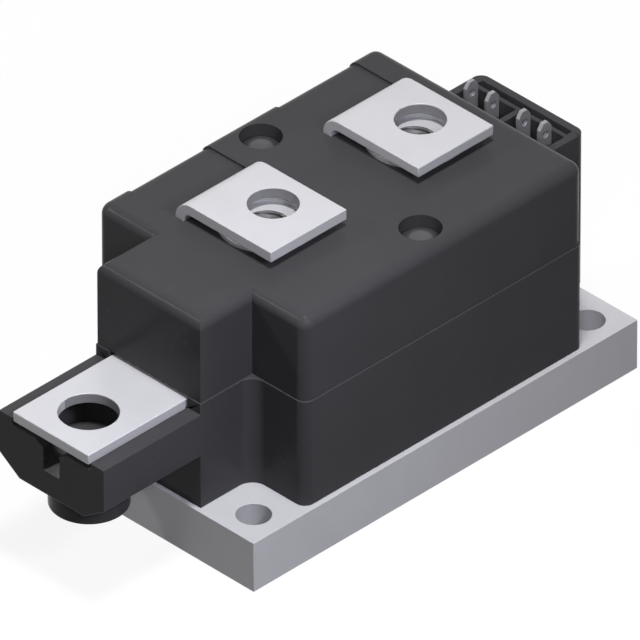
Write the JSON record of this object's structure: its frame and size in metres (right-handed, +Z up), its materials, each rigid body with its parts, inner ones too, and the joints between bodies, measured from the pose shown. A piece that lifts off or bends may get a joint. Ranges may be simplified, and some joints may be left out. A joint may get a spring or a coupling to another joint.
{
  "type": "thyristor module",
  "caption": "Power thyristor module: black moulded housing on a plated metal base with corner holes, flat strip terminals over captive nuts, and a header of push-on gate tabs.",
  "frame": {"origin": "centre of the four mounting holes, on the underside of the base plate", "axes": "+X along the module from the side terminal to the gate header, +Z up from the heat sink face"},
  "size_m": [0.115, 0.052, 0.0517],
  "materials": {
    "nickel_copper": "nickel-plated copper, satin",
    "housing_plastic": "moulded glass-filled plastic, fine matt grain",
    "tinned_copper": "tinned copper strip, satin",
    "black_steel": "black oxide steel",
    "zinc_steel": "zinc-plated steel",
    "ceramic": "white alumina",
    "bare_copper": "bare copper",
    "molybdenum": "grey molybdenum",
    "silicon": "dark silicon",
    "tinned_brass": "tinned brass",
    "lead_sleeve": "silicone-sleeved lead",
    "gel": "clear soft silicone",
    "resin": "cast resin"
  },
  "bodies": {
    "root": {"base_plate": "nickel_copper", "lower_housing": "housing_plastic", "upper_cover": "housing_plastic", "side_terminal": "tinned_copper", "middle_terminal": "tinned_copper", "end_terminal": "tinned_copper", "side_nut": "black_steel", "middle_nut": "zinc_steel", "end_nut": "zinc_steel", "cover_pins": "black_steel", "ceramic_plate_1": "ceramic", "ceramic_plate_2": "ceramic", "copper_pad_1": "bare_copper", "copper_pad_2": "bare_copper", "molybdenum_disc_1": "molybdenum", "molybdenum_disc_2": "molybdenum", "thyristor_chip_1": "silicon", "thyristor_chip_2": "silicon", "cathode_bridge": "bare_copper", "gate_tab_1": "tinned_brass", "gate_tab_2": "tinned_brass", "cathode_tab_1": "tinned_brass", "cathode_tab_2": "tinned_brass", "gate_lead_1": "lead_sleeve", "gate_lead_2": "lead_sleeve", "cathode_lead_1": "lead_sleeve", "cathode_lead_2": "lead_sleeve", "silicone_gel": "gel", "potting_resin": "resin"}
  },
  "joints": []
}
